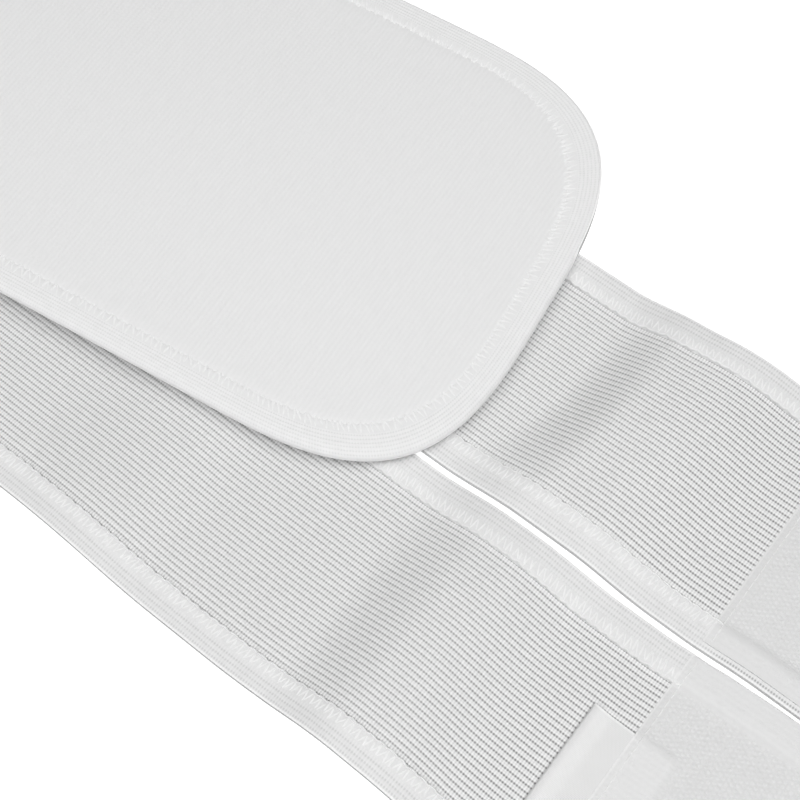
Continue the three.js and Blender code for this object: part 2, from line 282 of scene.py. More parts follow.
# %% Carry points of a band round the fold
FOLD = {"u": -337.0, "v": -9.4, "skew": math.radians(4.18)}
LOOP_RADIUS = (TOP_LAYER[0][1] - GAP) / 2
LOOP_LENGTH = math.pi * LOOP_RADIUS


def ripple_height(band, u, share):
    """Height of the ripples at a place along a band and a share of its width."""
    weights = np.stack([(1 - share) * (1 - 2 * share), 4 * share * (1 - share), share * (2 * share - 1)])
    height = np.zeros_like(share)
    for lines in band["ripples"]:
        foot, crest, brow, tail, top = np.tensordot(np.array(lines, float).T, weights, axes=1)
        height += top * ease((u - foot) / (crest - foot)) * (1 - ease((u - brow) / (tail - brow)))
    return height


def band_point(band, u, v, lift):
    """Where a point of the flat band lies, on the belt's ruler."""
    u, v, lift = np.broadcast_arrays(*(np.asarray(value, float) for value in (u, v, lift)))
    slit, outer = edges_at(band, u)
    lying = np.stack([u, v, ripple_height(band, u, (v - slit) / (outer - slit)) + lift], -1)
    sine, cosine = math.sin(FOLD["skew"]), math.cos(FOLD["skew"])
    past = -(u - FOLD["u"]) * cosine - (v - FOLD["v"]) * sine
    along = -(u - FOLD["u"]) * sine + (v - FOLD["v"]) * cosine
    turned = np.clip(past / LOOP_RADIUS, 0, math.pi)
    on_top = past > LOOP_LENGTH
    out = np.where(on_top, LOOP_LENGTH - past, (LOOP_RADIUS - lift) * np.sin(turned))
    round_loop = LOOP_RADIUS - (LOOP_RADIUS - lift) * np.cos(turned)
    height = np.where(on_top, top_height(past - LOOP_LENGTH) - GAP - lift, round_loop)
    across = FOLD["v"] + along * cosine - out * sine
    folded = np.stack([FOLD["u"] - along * sine - out * cosine, across, height], -1)
    return np.where(past[..., None] <= 0, lying, folded)


def edge_distance(band, u, distance, from_outer):
    """Place across, at a distance in from the slit edge or the outer edge."""
    slit, outer = edges_at(band, u)
    inward = np.sign(outer - slit)
    return outer - inward * distance if from_outer else slit + inward * distance


print("the loop's radius is", round(LOOP_RADIUS, 2), "mm")

# %% [markdown]
# ## Building meshes from grids
# Woven and knitted things are grids, so most meshes here are two grids of points, a face and a back, with
# the same rows and columns, closed along their rims. Blender's own grid and solidify tools could do it in
# steps. Filling the arrays directly is quicker, and lets each vertex carry its place on the flat cloth as
# a UV map, which the finishes read later.

# %% Faces of grids
def grid_quads(rows, columns, start=0, wrap=False):
    """Faces of a grid of vertices. A wrapped grid closes round its columns."""
    i, j = np.meshgrid(np.arange(rows - 1), np.arange(columns if wrap else columns - 1), indexing="ij")
    after = (j + 1) % columns
    corners = [i * columns + j, (i + 1) * columns + j, (i + 1) * columns + after, i * columns + after]
    return np.stack(corners, -1).reshape(-1, 4) + start


def closed_faces(rows, columns):
    """Faces of a face grid and a back grid, closed along their rims."""
    size = rows * columns
    face = grid_quads(rows, columns)
    back = grid_quads(rows, columns, size)[:, ::-1]
    around = np.concatenate([
        np.arange(columns),
        np.arange(1, rows) * columns + columns - 1,
        (rows - 1) * columns + np.arange(columns - 2, -1, -1),
        np.arange(rows - 2, 0, -1) * columns,
    ])
    after = np.roll(around, -1)
    rim = np.stack([around, after, after + size, around + size], -1)
    return np.concatenate([face, back, rim])


print("a 3 by 4 sheet closes with", len(closed_faces(3, 4)), "faces")

# %% Sweeps and threads
def swept(rings):
    """Points and faces of rings that follow one another, closed at both ends."""
    count, sides = rings.shape[:2]
    ends = [list(range(sides)), list(range((count - 1) * sides, count * sides))]
    return rings.reshape(-1, 3), [*grid_quads(count, sides, wrap=True).tolist(), *ends]


def round_about(sides):
    """Cosines and sines of so many even steps round a circle."""
    turn = np.linspace(0, 2 * math.pi, sides, endpoint=False)
    return np.cos(turn), np.sin(turn)


def tube(path, upward, radius, sides, flat=1.0):
    """A thread along a path: rings of points round it, flattened or not, and their faces."""
    ahead = np.gradient(path, axis=0)
    ahead /= np.linalg.norm(ahead, axis=1, keepdims=True)
    aside = np.cross(ahead, upward)
    aside /= np.linalg.norm(aside, axis=1, keepdims=True)
    above = np.cross(aside, ahead)
    cosine, sine = round_about(sides)
    ring = cosine[None, :, None] * aside[:, None] + flat * sine[None, :, None] * above[:, None]
    return swept(path[:, None] + radius * ring)


def joined(parts):
    """Many small meshes as one: their points, their faces and the number of each face's part."""
    points, faces, numbers, count = [], [], [], 0
    for number, (part_points, part_faces) in enumerate(parts):
        points.append(part_points)
        faces += [[int(vertex) + count for vertex in face] for face in part_faces]
        numbers += [number] * len(part_faces)
        count += len(part_points)
    return np.concatenate(points), faces, np.array(numbers)


print("a thread of 3 rings with 4 sides has", len(swept(np.zeros((3, 4, 3)))[1]), "faces")

# %% Pieces of the belt
SHARP = math.radians(75)


def mesh_piece(name, points, faces, finishes, maps=None, finish_of_face=None):
    """A smooth mesh from points on the belt's ruler, with its finishes and flat maps."""
    mesh = bpy.data.meshes.new(name)
    mesh.from_pydata(in_frame(points).tolist(), [], [list(face) for face in faces])
    turned = bmesh.new()
    turned.from_mesh(mesh)
    bmesh.ops.recalc_face_normals(turned, faces=turned.faces)
    turned.to_mesh(mesh)
    turned.free()
    corner = np.zeros(len(mesh.loops), np.int32)
    mesh.loops.foreach_get("vertex_index", corner)
    for map_name, flat in (maps or {}).items():
        layer = mesh.uv_layers.new(name=map_name)
        layer.uv.foreach_set("vector", np.asarray(flat, np.float32)[corner].ravel())
    for finish in finishes:
        mesh.materials.append(finish)
    if finish_of_face is not None:
        mesh.polygons.foreach_set("material_index", np.asarray(finish_of_face, np.int32))
    mesh.shade_smooth()
    mesh.set_sharp_from_angle(angle=SHARP)
    mesh.update()
    made = bpy.data.objects.new(name, mesh)
    bpy.context.scene.collection.objects.link(made)
    return made


def closed_piece(name, face, back, finishes, maps=None, finish_of_column=None):
    """A piece from two grids of points, a face and a back, closed along their rims."""
    rows, columns = face.shape[:2]
    faces = closed_faces(rows, columns)
    of_face = None if finish_of_column is None else finish_of_column[faces % columns].min(1)
    points = np.concatenate([face.reshape(-1, 3), back.reshape(-1, 3)])
    return mesh_piece(name, points, faces, finishes, maps, of_face)


def one_side(*counts):
    """A flat map of two counts for one grid of points."""
    return np.stack(counts, -1).reshape(-1, 2)


def both_sides(*counts):
    """A flat map of two counts that are the same on the face and on the back."""
    return np.tile(one_side(*counts), (2, 1))


def settle(piece, slot, *solids):
    """The piece moves with the belt and stands for its solids, which are hidden; its slot is not used."""
    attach(piece, "root")
    if solids:
        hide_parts(*solids)
    print(piece.name, "has", len(piece.data.polygons), "faces")


print("edges stay sharp from", round(math.degrees(SHARP)), "degrees on")

# %% [markdown]
# ## Reading the flat cloth in a finish
# A knit is a small repeat, so its finish counts repeats: how many cells along, how many ribs across. Image
# textures could carry the pattern, but they blur when the camera comes close. A few math nodes on the flat
# map stay sharp, and the same count drives both the colour and the bump.

# %% Math on the flat map
def calc(tree, operation, *values):
    """A math node."""
    return add(tree, "ShaderNodeMath", *values, operation=operation)


def product(tree, value, *others):
    """Values multiplied."""
    for other in others:
        value = calc(tree, "MULTIPLY", value, other)
    return value


def total(tree, value, *others):
    """Values added up."""
    for other in others:
        value = calc(tree, "ADD", value, other)
    return value


def soft_step(tree, value, low, high, start=0.0, end=1.0):
    """Goes smoothly from start to end as the value goes from low to high."""
    return add(tree, "ShaderNodeMapRange", value, low, high, start, end, interpolation_type="SMOOTHSTEP")


def split(tree, place):
    """The parts of a place along its first two axes."""
    made = tree.nodes.new("ShaderNodeSeparateXYZ")
    tree.links.new(place, made.inputs[0])
    return made.outputs[0], made.outputs[1]


def flat_map(tree, map_name):
    """The two counts of a flat map."""
    return split(tree, add(tree, "ShaderNodeUVMap", uv_map=map_name))


def wave(tree, count):
    """A sine that repeats once for each whole count."""
    return calc(tree, "SINE", calc(tree, "MULTIPLY", count, 2 * math.pi))


def from_line(tree, count):
    """How far a count is from the nearest whole number, from 0 to a half."""
    return calc(tree, "PINGPONG", count, 0.5)


print("math helpers are ready")

# %% Cloth finishes
CLOTH_GLOSS = 0.25
SHEEN_ROUGHNESS = 0.6


def cloth_finish(name, roughness, sheen):
    """A new matt finish with a soft sheen, and its node tree."""
    finish, tree, shader = new_finish(name, roughness, CLOTH_GLOSS)
    shader.inputs["Sheen Weight"].default_value = sheen
    shader.inputs["Sheen Roughness"].default_value = SHEEN_ROUGHNESS
    return finish, tree


def in_space(tree):
    """The place of a point in space, in metres."""
    return tree.nodes.new("ShaderNodeTexCoord").outputs["Object"]


def uneven(tree, scale, low, high, detail=2.0):
    """Soft random patches in space, at so many to the metre, between two values."""
    noise = add(tree, "ShaderNodeTexNoise", in_space(tree), None, scale, detail)
    return add(tree, "ShaderNodeMapRange", noise, 0.25, 0.75, low, high)


def dressed(finish, tone, relief, depth):
    """The finish with its tone, and with a bump of a depth in millimetres."""
    tree = finish.node_tree
    shader = tree.nodes["Principled BSDF"]
    bump = tree.nodes.new("ShaderNodeBump")
    bump.inputs["Distance"].default_value = depth * MM
    tree.links.new(relief, bump.inputs["Height"])
    tree.links.new(bump.outputs["Normal"], shader.inputs["Normal"])
    tree.links.new(tone, shader.inputs["Base Color"])
    return finish


print("cloth has a sheen of roughness", SHEEN_ROUGHNESS)

# %% [markdown]
# ## The elastic web
# The web is knitted in ribs along its length. Each rib is two lines of small square loops, side by side
# and in step with the loops of the next rib, and small holes show in the grooves between ribs. The grooves
# are painted grey, partly the knit's own grey and partly painted shade, and the holes darker still, as
# painted shadow seen through them. Where the web is pulled open before the hook patches, this grey is
# painted deeper. Painted shade also darkens the loops beside the hems. The ribs are modelled. The loops
# are finer than any mesh should be, so they are drawn by counting them along and across.

# %% Finish of the elastic web
CELL_PITCH = 0.78
# Where a mark begins and is full, as a share of a loop or of a rib from its line.
KNIT = {"between": (0.08, 0.45), "middle": (0.36, 0.5), "shaded_groove": (0.03, 0.26, 1.0, 0.0)}
RIB_TONE_AND_SHADE = {"between": 0.13, "middle": 0.08, "shaded_groove": 0.30, "shadowed_hole": 0.14}
LOOP_TONE = 0.88
WEB_YARN = {"scale": 900, "low": 0.97, "high": 1.03}
SHADE_BY_HEM = {"from": 9.3, "to": 10.3, "darker": 0.1}
PULLED_OPEN = {"from": 45, "full": 85, "darker": 1.28, "loop": 0.92}


def from_loop_line(tree, along):
    """How far a place along is from the middle line of its loop, as a share of a loop."""
    return from_line(tree, calc(tree, "DIVIDE", along, CELL_PITCH))


def mesh_knit():
    """White ribs of small square loops, with painted shade in the grooves and painted shadow in the holes.
    """
    finish, tree = cloth_finish("mesh_knit", roughness=0.85, sheen=0.1)
    along, ribs = flat_map(tree, "web")
    _, inward = flat_map(tree, "hem")
    from_rib_line = from_line(tree, ribs)
    marks = {mark: soft_step(tree, from_rib_line, *KNIT[mark]) for mark in ("middle", "shaded_groove")}
    marks["between"] = soft_step(tree, from_loop_line(tree, along), *KNIT["between"])
    marks["shadowed_hole"] = product(tree, marks["shaded_groove"], marks["between"])
    # Painted shade between the loops beside the hems, where the web dips by the thick hem.
    shade_by_hem = soft_step(tree, inward, SHADE_BY_HEM["from"], SHADE_BY_HEM["to"], SHADE_BY_HEM["darker"], 0.0)
    dark = product(tree, marks["between"], shade_by_hem)
    # The loop lines are the knit's own; the grooves are partly painted shade, the holes painted shadow.
    for mark, share in RIB_TONE_AND_SHADE.items():
        dark = calc(tree, "MULTIPLY_ADD", marks[mark], share, dark)
    # Where the web is pulled open, its grey, painted shade included, is painted deeper and its loops
    # lighter.
    pulled = along, PULLED_OPEN["from"], PULLED_OPEN["full"]
    darker = soft_step(tree, *pulled, 1.0, PULLED_OPEN["darker"])
    loop = soft_step(tree, *pulled, LOOP_TONE, PULLED_OPEN["loop"])
    light = calc(tree, "SUBTRACT", 1.0, product(tree, dark, darker))
    yarn = product(tree, light, uneven(tree, **WEB_YARN), loop)
    return dressed(finish, yarn, total(tree, marks["shadowed_hole"], marks["between"]), depth=-0.06)


web_finish = mesh_knit()
print("the web has", round(1 / CELL_PITCH * 10, 1), "loops to the centimetre")

# %% [markdown]
# ## The hems
# Along both edges of a band the knit is doubled and closed: a few faint rows of tiny loops, then a zone
# that is covered by stitches. It is thicker than the web and has a round edge. Its rim gets a painted
# highlight, and painted shade darkens it where it turns under, more on the outer edge than in the slit.
# An image could carry these rows too. The finish measures the distance from the edge instead, in
# millimetres, below zero on the underside. Beside the hook patches the hem is held stretched, so its rows
# open.

# %% Tones along an edge
# How much tone each edge keeps under its painted shade.
SHADED = {"slit": 0.78, "outer": 0.44, "edging": 0.5}
RIM_LIGHT = 0.17
TURN_SOFT = {"under": 0.25, "over": 0.15, "before_rim": 0.1, "after_rim": 0.05}
DOT = {"between": (0.05, 0.4), "row": (0.05, 0.30, 1.0, 0.0), "least": 0.2, "fade": 0.5}


def painted_edge_shading(tree, inward, shade, under, over, rim):
    """Painted shade where an edge turns under, from one distance to another, then a painted rim highlight.
    """
    leaving = soft_step(tree, inward, under - TURN_SOFT["under"], under, 1.0, shade)
    coming = soft_step(tree, inward, over - TURN_SOFT["over"], over, shade, 1.0)
    start = soft_step(tree, inward, over - TURN_SOFT["before_rim"], over + TURN_SOFT["after_rim"])
    lit = product(tree, soft_step(tree, inward, over + rim / 2, over + rim, RIM_LIGHT, 0.0), start)
    return total(tree, calc(tree, "MAXIMUM", leaving, coming), lit)


def rows_end(rows):
    """How far in a few rows along an edge reach."""
    return rows["first"] + rows["pitch"] * rows["count"]


def dotted_rows(tree, along, inward, rows, strength, crossed):
    """Tone and relief of a few dotted rows along an edge, and of the fine lines across them."""
    between = soft_step(tree, from_loop_line(tree, along), *DOT["between"])
    count = calc(tree, "DIVIDE", calc(tree, "SUBTRACT", inward, rows["first"]), rows["pitch"])
    row = soft_step(tree, from_line(tree, count), *DOT["row"])
    dot = product(tree, row, calc(tree, "MULTIPLY_ADD", between, 1 - DOT["least"], DOT["least"]))
    last = rows_end(rows)
    knitted = soft_step(tree, inward, last, last + DOT["fade"], 1.0, 0.0)
    ribbed = product(tree, dot, knitted)
    dark = total(tree, product(tree, ribbed, strength), product(tree, between, knitted, crossed))
    return calc(tree, "SUBTRACT", 1.0, dark), ribbed


print("an outer hem keeps", SHADED["outer"], "of its light where it turns under")

# %% Finish of the hems
HEM_ROWS = {"first": 1.1, "pitch": 1.45, "count": 3}
HEM_DOTS = {"strength": 0.14, "opened": 0.42, "crossed": 0.055}
STRETCHED = {"from": 100, "full": 108}
HEM_TURN = {"under": -0.45, "over": 0.2, "rim": 0.6}
HEM_YARN = {"scale": 700, "low": 0.79, "high": 0.83}


def hem_knit():
    """Close white knit with faint dotted rows along the edge."""
    finish, tree = cloth_finish("hem_knit", roughness=0.85, sheen=0.15)
    along, inward = flat_map(tree, "hem")
    _, ribs = flat_map(tree, "web")
    opened = HEM_DOTS["strength"], HEM_DOTS["opened"]
    strength = soft_step(tree, along, STRETCHED["from"], STRETCHED["full"], *opened)
    depth = calc(tree, "ABSOLUTE", inward)
    rows, ribbed = dotted_rows(tree, along, depth, HEM_ROWS, strength, HEM_DOTS["crossed"])
    # Ribs are counted from the slit hem, so the count is below zero on that hem alone.
    shade = soft_step(tree, ribs, -1.0, 1.0, SHADED["slit"], SHADED["outer"])
    # Painted shade where the hem turns under, lighter in the slit, then a painted highlight on the rim.
    turned = painted_edge_shading(tree, inward, shade, **HEM_TURN)
    return dressed(finish, product(tree, uneven(tree, **HEM_YARN), turned, rows), ribbed, depth=-0.05)


hem_finish = hem_knit()
print("dotted rows reach", rows_end(HEM_ROWS), "mm in from the edge")

# %% [markdown]
# ## Two bands
# Each band is one closed mesh, hem to hem, face and back. Its columns run along the ribs, with four to a
# rib so that every rib is a ridge, and its rows lie close where the cloth ripples and further apart where
# it is flat. Displacement could raise ribs on a plain grid, but it would need many times the faces.

# %% Columns of a band
WEB_THICKNESS = 1.2
HEM_THICKNESS = 2.2
SLIT_HEM = 9.4
OUTER_HEM = 8.9
RIB_SECTION = [(0.0, 0.3), (0.22, 0.05), (0.5, 0.02), (0.78, 0.05)]
HEM_EDGE = [(0.0, 0.62), (0.08, 0.3), (0.3, 0.07)]
HEM_ROW_SECTION = [(0.0, 0.07), (0.35, 0.0), (0.65, 0.0)]
HEM_ZONE = [(rows_end(HEM_ROWS), 0.04), (5.9, 0.02), (8.2, 0.02)]


def row_columns(rows, section):
    """(distance from the edge, dip) of the columns in a few rows along an edge."""
    return [
        (rows["first"] + rows["pitch"] * (k + phase), dip)
        for k in range(rows["count"])
        for phase, dip in section
    ]


def hem_columns():
    """(distance from the edge, dip below the hem's face) of the columns in a hem."""
    return np.array([*HEM_EDGE, *row_columns(HEM_ROWS, HEM_ROW_SECTION), *HEM_ZONE])


def web_columns(count):
    """(share of the web's width, dip below its face) of the columns in a web of so many ribs."""
    ribs = [((k + phase) / count, dip) for k in range(count) for phase, dip in RIB_SECTION]
    return np.array([*ribs, (1.0, RIB_SECTION[0][1])])


def rib_count(band, distance, width):
    """How many ribs lie between the slit hem and a point at a distance from the slit edge."""
    return (distance - SLIT_HEM) / (width - SLIT_HEM - OUTER_HEM) * band["ribs"]


print("a hem has", len(hem_columns()), "columns")

# %% Rows of a band
# Stretches of rows along a band, as (end, spacing): hook end, ripples, flat, up to the fold.
HOOK_END = 190
FLAT_STRETCHES = [(100, 5), (15, 1.4), (-80, 3), (FOLD["u"], 6)]
LOOP_SPACING = 1.3
TOP_SPACING = 4
PAD_ROOT = 97
SEWN_UNDER_PAD = 28
SKEW_START = -200
SKEW_FULL = -320


def spaced(start, end, spacing):
    """Places from start to end, about a spacing apart."""
    return np.linspace(start, end, max(2, round(abs(end - start) / spacing) + 1))


def band_rows():
    """Places of a band's rows, from the hook end round the fold to the sewn end."""
    loop_end = FOLD["u"] - LOOP_LENGTH / math.cos(FOLD["skew"])
    sewn_end = loop_end - PAD_ROOT - SEWN_UNDER_PAD
    places = [np.array([float(HOOK_END)])]
    for end, spacing in [*FLAT_STRETCHES, (loop_end, LOOP_SPACING), (sewn_end, TOP_SPACING)]:
        places.append(spaced(places[-1][-1], end, spacing)[1:])
    return np.concatenate(places)


def skewed(row, v):
    """Place along of a point in a row: rows lean over as they come to the slanting fold."""
    lean = ease((row - SKEW_START) / (SKEW_FULL - SKEW_START)) * math.tan(FOLD["skew"])
    return row - lean * (v - FOLD["v"])


print("a band has", len(band_rows()), "rows")

# %% Make the two bands
def make_band(name, band):
    """A ribbed band with two hems, as one closed mesh."""
    hem, web = hem_columns(), web_columns(band["ribs"])
    # A column's distance from the slit edge is a part in millimetres plus a share of the width.
    web_offset = SLIT_HEM * (1 - web[:, 0]) - OUTER_HEM * web[:, 0]
    offset = np.concatenate([hem[:, 0], web_offset, -hem[::-1, 0]])
    factor = np.concatenate([0 * hem[:, 0], web[:, 0], 0 * hem[:, 0] + 1])
    dip = np.concatenate([hem[:, 1], web[:, 1], hem[::-1, 1]])
    in_web = np.concatenate([0 * hem[:, 0], 0 * web[:, 0] + 1, 0 * hem[:, 0]])
    thickness = np.where(in_web > 0, WEB_THICKNESS, HEM_THICKNESS)
    rows = band_rows()[:, None]
    slit, outer = edges_at(band, rows)
    width = np.abs(outer - slit)
    distance = offset + factor * width
    v = slit + np.sign(outer - slit) * distance
    u = skewed(rows, v)
    face = band_point(band, u, v, thickness - dip)
    back = band_point(band, u, v, dip + 0 * u)
    inward = np.minimum(distance, width - distance)
    maps = {
        "web": both_sides(u, rib_count(band, distance, width)),
        "hem": np.concatenate([one_side(u, inward), one_side(u, -inward)]),
    }
    return closed_piece(name, face, back, [hem_finish, web_finish], maps, in_web)


cloths = {}
for side, band in BANDS.items():
    cloths[side] = make_band(f"{side}_band_cloth", band)
    settle(cloths[side], "mesh_elastic", f"{side}_band")

# %% [markdown]
# ## Stitches on the hems
# Soft thread holds each hem down. It pinches the hem's inner edge into small uneven scallops, and between
# them the first row of holes peeps out. What shows of the thread is a zigzag over a flat tape, with
# straight strokes and slanting ones that are pulled in deeper, and a line along the tape's inner edge. A
# bump could draw the zigzag but not the scallops, so the tape is a thin section swept along the hem, and
# the threads are tubes, half sunk in it.

# %% Finishes of tape and thread
TAPE_FINE = {"scale": 1500, "low": -0.03, "high": 0.03}
TAPE_GRAIN = {"scale": 2500, "low": 0.0, "high": 1.0}
TAPE_PATCHES = 260


def tape_finish(name, low, high):
    """Smooth, slightly uneven white tape, thread or nylon."""
    finish, tree = cloth_finish(name, roughness=0.8, sheen=0.2)
    tone = total(tree, uneven(tree, TAPE_PATCHES, low, high), uneven(tree, **TAPE_FINE))
    return dressed(finish, tone, uneven(tree, **TAPE_GRAIN), depth=0.06)


stitch_tape = tape_finish("stitch_tape", 0.77, 0.8)
thread = tape_finish("thread", 0.86, 0.9)
print("finishes:", stitch_tape.name, thread.name)

# %% Strokes of thread
ZIGZAG = {"hem": 1.5, "edging": 1.6, "sunk": 0.05}
STROKE = {"steps": 6, "tuck": 0.3, "flat": 0.6, "sides": 4, "shortest": 1}
UNEVEN_STITCH = {"place": 0.15, "lean": 0.25, "start": 0.4, "end": 0.12}
sewing = np.random.default_rng(7)


def strokes(surface, places, lean, outer, inner, height, radius):
    """Short stitches side by side across a surface, each tucked in at both ends."""
    way = np.linspace(0, 1, STROKE["steps"])
    along = places[:, None] + lean[:, None] * (way - 0.5)
    reach = outer[:, None] + (inner - outer)[:, None] * way
    height = np.reshape(height, (-1, 1))
    upward = np.sign(height)
    rise = height - upward * STROKE["tuck"] * (2 * way - 1) ** 4 + 0 * reach
    paths = surface(along, reach, rise)
    ups = surface(along, reach, rise + upward) - paths
    return [tube(path, up, radius, STROKE["sides"], STROKE["flat"]) for path, up in zip(paths, ups)]


def stroke_ends(count, outer, inner):
    """Outer and inner ends of so many strokes, each a little shorter than the longest one."""
    later = np.abs(sewing.normal(0, UNEVEN_STITCH["start"], count))
    sooner = np.abs(sewing.normal(0, UNEVEN_STITCH["end"], count))
    return np.minimum(outer + later, inner - STROKE["shortest"]), inner - sooner


def zigzag(count, lean):
    """How far each stroke leans along the seam, and how deep it is sunk: every second one slants back."""
    slanting = np.arange(count) % 2
    return lean * slanting + sewing.normal(0, UNEVEN_STITCH["lean"], count), ZIGZAG["sunk"] * slanting


def hand_uneven(count, steps, size):
    """A little chance for each stitch, eased from one to the next, so that no two are quite alike."""
    at = np.arange(count + 2)
    return np.interp(np.arange(count * steps + 1) / steps, at, sewing.normal(0, size, len(at)))


print("every second stroke is sunk by", ZIGZAG["sunk"], "mm")

# %% Sew the hems
PATCH_START = 100
TUCKED_UNDER_PATCH = 2
SCALLOP = {"length": 3.1, "steps": 8, "depth": 0.36, "uneven": 0.13, "stitches": 3}
# Section of the tape on a slit hem, as (distance from the edge, height, share of the scallop).
TAPE_SECTION = [
    (4.8, 2.1, 0), (5.7, 2.23, 0), (8.5, 2.23, 0.2), (8.9, 2.1, 0.8),
    (9.1, 1.75, 1), (9.15, 0.9, 1), (5.3, 1.5, 0),
]
HEM_STITCH = {"slit": 4.8, "outer": 5.0, "inner": 8.9, "height": 2.25, "back": -0.04, "radius": 0.23}
HEM_LINE = {"inward": 8.9, "height": 2.06, "radius": 0.25}


def sew_hem(name, band, edge):
    """Scalloped tape and thread on a hem, and on its other side where the belt is turned over."""
    start, end = PATCH_START + TUCKED_UNDER_PATCH, band_rows()[-1]
    scallops = round((start - end) / SCALLOP["length"])
    count = np.arange(scallops * SCALLOP["steps"] + 1) / SCALLOP["steps"]
    places = start - count * (start - end) / scallops
    wander = hand_uneven(scallops, SCALLOP["steps"], SCALLOP["uneven"])
    scallop = SCALLOP["depth"] * np.abs(np.sin(math.pi * count)) + wander
    from_outer = edge == "outer"
    narrower = (OUTER_HEM if from_outer else SLIT_HEM) / SLIT_HEM

    def on_hem(along, distance, height):
        v = edge_distance(band, along, distance * narrower, from_outer)
        return band_point(band, skewed(along, v), v, height)

    inward, height, share = np.array(TAPE_SECTION).T
    across = inward + share * scallop[:, None]
    tape = swept(on_hem(places[:, None] + 0 * across, across, height + 0 * across))
    line_reach, line_height = HEM_LINE["inward"] + scallop, HEM_LINE["height"] + 0 * places
    line_path = on_hem(places, line_reach, line_height)
    line_up = on_hem(places, line_reach, line_height + 1) - line_path
    line = tube(line_path, line_up, HEM_LINE["radius"], STROKE["sides"])
    stitches = scallops * SCALLOP["stitches"]
    sewn = np.linspace(start, end, stitches) + sewing.normal(0, UNEVEN_STITCH["place"], stitches)
    lean, sunk = zigzag(stitches, ZIGZAG["hem"])
    outer, inner = stroke_ends(stitches, HEM_STITCH[edge], HEM_STITCH["inner"])
    inner += np.interp(-sewn, -places, scallop)
    seam = np.stack([sewn, lean, outer, inner])
    turned_over = seam[:, sewn < FOLD["u"]]
    shown = strokes(on_hem, *seam, HEM_STITCH["height"] - sunk, HEM_STITCH["radius"])
    behind = strokes(on_hem, *turned_over, HEM_STITCH["back"], HEM_STITCH["radius"])
    points, faces, part = joined([tape, line, *shown, *behind])
    return mesh_piece(name, points, faces, [stitch_tape, thread], None, part > 0)


hem_stitches = {"upper": [], "lower": []}
for side, band in BANDS.items():
    for edge in ("slit", "outer"):
        seam = sew_hem(f"{side}_{edge}_hem_stitching", band, edge)
        settle(seam, "mesh_elastic")
        hem_stitches[side].append(seam)

# %% [markdown]
# ## The pad's outline
# The pad is a long rounded panel, sewn on the bands at its root and free at its other end, which is
# rounder. Both ends are superellipses, fuller than a circle, as pattern cutters draw them. A Bezier curve
# could follow the outline too, but this formula also gives every line inside it, at any distance from the
# edge, which the edging and the stitches need.

# %% Outline of the pad
PAD = {"root": PAD_ROOT, "end": 357.3, "width": 138, "end_depth": 68, "end_fullness": 3.3}
PAD_ROOT_CORNER = {"depth": 16, "fullness": 5, "least": 4}
# Shares of half the way round that the root, the side and the end take.
ROOT_SHARE, SIDE_SHARE, END_SHARE = 0.2, 0.45, 0.35
FINE_STEPS = 8001


def pad_sizes(inset):
    """Half width, root depth, start and end of the straight side, and end depth, kept in by an inset."""
    root_depth = np.maximum(PAD_ROOT_CORNER["depth"] - inset, PAD_ROOT_CORNER["least"])
    side_start = PAD["root"] + inset + root_depth
    side_end = PAD["end"] - PAD["end_depth"]
    return PAD["width"] / 2 - inset, root_depth, side_start, side_end, PAD["end_depth"] - inset


def rounded(share, fullness):
    """A quarter of a superellipse: its reach forward and its reach aside."""
    turn = np.clip(share, 0, 1) * math.pi / 2
    reach = (np.cos(turn) ** fullness + np.sin(turn) ** fullness) ** (-1 / fullness)
    return reach * np.cos(turn), reach * np.sin(turn)


def pad_outline(inset, place):
    """Along and across the pad, at a place from 0 to 1 round it, from the middle of its root."""
    half, root_depth, side_start, side_end, end_depth = pad_sizes(inset)
    way = 1 - np.abs(1 - 2 * place)
    root_reach, root_aside = rounded(way / ROOT_SHARE, PAD_ROOT_CORNER["fullness"])
    end_reach, end_aside = rounded((1 - way) / END_SHARE, PAD["end_fullness"])
    straight = np.clip((way - ROOT_SHARE) / SIDE_SHARE, 0, 1)
    on_side = side_start + (side_end - side_start) * straight
    across = half * np.minimum(root_aside, end_aside) * np.where(place < 0.5, 1, -1)
    return on_side - root_depth * root_reach + end_depth * end_reach, across


def pad_point(along, across, lift):
    """A point of the pad, which comes back from the fold turned by twice the fold's slant."""
    turn = 2 * FOLD["skew"]
    du = along * math.cos(turn) - across * math.sin(turn)
    dv = along * math.sin(turn) + across * math.cos(turn)
    from_fold = du * math.cos(FOLD["skew"]) + dv * math.sin(FOLD["skew"])
    return np.stack([FOLD["u"] + du, FOLD["v"] + dv, top_height(from_fold) + lift], -1)


def even_places(inset, count):
    """Places round the outline at even steps along it, and its length."""
    fine = np.linspace(0, 1, FINE_STEPS)
    along, across = pad_outline(inset, fine)
    run = np.concatenate([[0], np.cumsum(np.hypot(np.diff(along), np.diff(across)))])
    return np.interp(np.linspace(0, run[-1], count, endpoint=False), run, fine), run[-1]


PAD_ROUND = even_places(0, 1)[1]
print("round the pad it is", round(PAD_ROUND), "mm")

# %% [markdown]
# ## The pad's face
# The front is covered with a fine looped knit whose ribs run across it, a little more than a millimetre
# apart and very shallow. A bump could draw them, but real ribs also catch the light at the pad's rim.
# They are rows of the grid: a quarter of a rib from row to row. The finish adds what makes it look soft,
# streaks along the ribs and a light fuzz.

# %% Finish of the pad's face
PAD_RIB = {"pitch": 1.32, "height": 0.07, "steps": 4, "turn": math.radians(2.4)}
PAD_STREAK = {"scale": 0.9, "detail": 3.0, "drawn_out": 0.15, "low": 0.808, "high": 0.822}
PAD_FUZZ = {"scale": 1300, "low": 0.0, "high": 1.0, "detail": 4.0}
PAD_TONE = {"rib": 0.010, "fuzz": 0.012}


